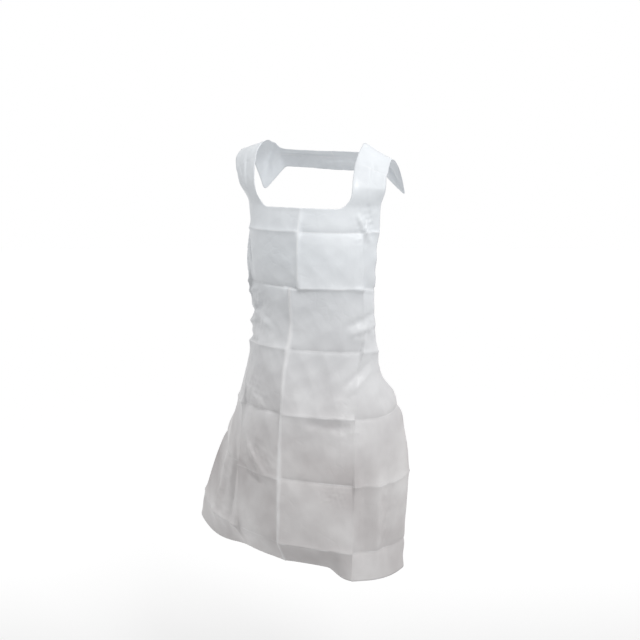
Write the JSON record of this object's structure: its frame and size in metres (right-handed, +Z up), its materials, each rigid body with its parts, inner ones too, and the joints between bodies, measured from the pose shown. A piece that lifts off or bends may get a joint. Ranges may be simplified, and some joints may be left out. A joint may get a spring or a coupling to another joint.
{
  "type": "butcher apron",
  "caption": "Disposable white film butcher apron in its worn shape, with wide shoulder straps, a square neck opening and waist ties knotted behind.",
  "frame": {"origin": "between the two shoulder straps, level with the tops of the shoulders that they rest on", "axes": "+Z up, -Y the way the wearer faces, +X to the wearer's left"},
  "size_m": [0.5469, 0.2885, 1.0279],
  "materials": {
    "film": "satin",
    "tie_film": "satin"
  },
  "bodies": {
    "apron_front": {"bib": "film", "left_strap": "film", "right_strap": "film", "left_waist_tie": "tie_film", "right_waist_tie": "tie_film", "tie_knot": "tie_film", "left_bow_loop": "tie_film", "right_bow_loop": "tie_film"},
    "skirt": {"skirt_front": "film", "skirt_left_flap": "film", "skirt_right_flap": "film"},
    "neck_loop": {"left_nape_strap": "film", "right_nape_strap": "film", "nape_band": "film"},
    "left_tail": {"left_tie_tail": "tie_film"},
    "right_tail": {"right_tie_tail": "tie_film"}
  },
  "joints": [
    {"name": "skirt_swing", "type": "hinge", "parent": "apron_front", "child": "skirt", "pos_m": [0, -0.12, -0.45], "axis": [-1, 0, 0], "range_deg": [0, 40], "stiffness_Nm_per_rad": 0.02, "springref_deg": -40.11},
    {"name": "neck_loop_lift", "type": "hinge", "parent": "apron_front", "child": "neck_loop", "pos_m": [0, 0.01, 0.017], "axis": [1, 0, 0], "range_deg": [0, 80]},
    {"name": "left_tail_swing", "type": "hinge", "parent": "apron_front", "child": "left_tail", "pos_m": [0.0165, 0.122, -0.447], "axis": [1, 0, 0], "range_deg": [0, 75]},
    {"name": "right_tail_swing", "type": "hinge", "parent": "apron_front", "child": "right_tail", "pos_m": [-0.0165, 0.122, -0.447], "axis": [1, 0, 0], "range_deg": [0, 75]}
  ]
}
